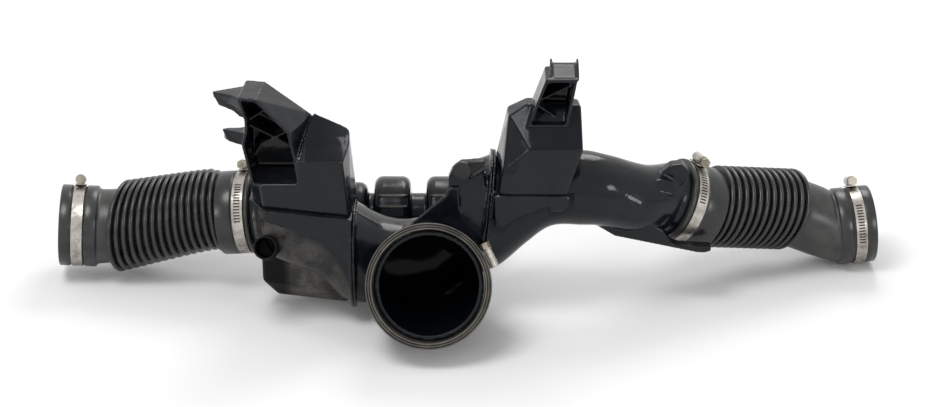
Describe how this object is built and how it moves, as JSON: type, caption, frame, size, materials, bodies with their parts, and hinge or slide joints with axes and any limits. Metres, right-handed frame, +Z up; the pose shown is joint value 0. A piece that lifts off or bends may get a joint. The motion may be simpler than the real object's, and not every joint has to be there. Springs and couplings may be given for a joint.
{
  "type": "air intake resonator duct",
  "caption": "Moulded twin-inlet engine air intake duct with resonator towers, bellows hoses and worm-drive clamps, meeting at one throttle outlet.",
  "frame": {"origin": "centre of the rubber throttle outlet's mouth", "axes": "+X to the right along the two hoses, +Y from the mouth into the duct, +Z up; the outlet's axis is tipped up 25 degrees in front"},
  "size_m": [0.6804, 0.2291, 0.2148],
  "materials": {
    "duct_plastic": "moulded, scuffed, dusty on ledges",
    "chamber_plastic": "moulded, covered with dust",
    "bush_rubber": "matt",
    "sleeve_rubber": "worn, greyed lip",
    "hose_rubber": "satin, dusty in the folds",
    "clamp_steel": "bright, lightly stained",
    "screw_steel": "dull"
  },
  "bodies": {
    "root": {"centre_duct": "duct_plastic", "left_duct": "duct_plastic", "right_duct": "duct_plastic", "left_tower": "duct_plastic", "right_tower": "duct_plastic", "lower_chamber": "chamber_plastic", "crossover_tube": "duct_plastic", "mounting_bush": "bush_rubber", "outlet_sleeve": "sleeve_rubber", "left_hose": "hose_rubber", "right_hose": "hose_rubber", "outlet_band": "clamp_steel", "outlet_housing": "clamp_steel", "outlet_screw": "screw_steel", "left_body_band": "clamp_steel", "left_body_housing": "clamp_steel", "left_body_screw": "screw_steel", "left_inlet_band": "clamp_steel", "left_inlet_housing": "clamp_steel", "left_inlet_screw": "screw_steel", "right_body_band": "clamp_steel", "right_body_housing": "clamp_steel", "right_body_screw": "screw_steel", "right_inlet_band": "clamp_steel", "right_inlet_housing": "clamp_steel", "right_inlet_screw": "screw_steel"}
  },
  "joints": []
}
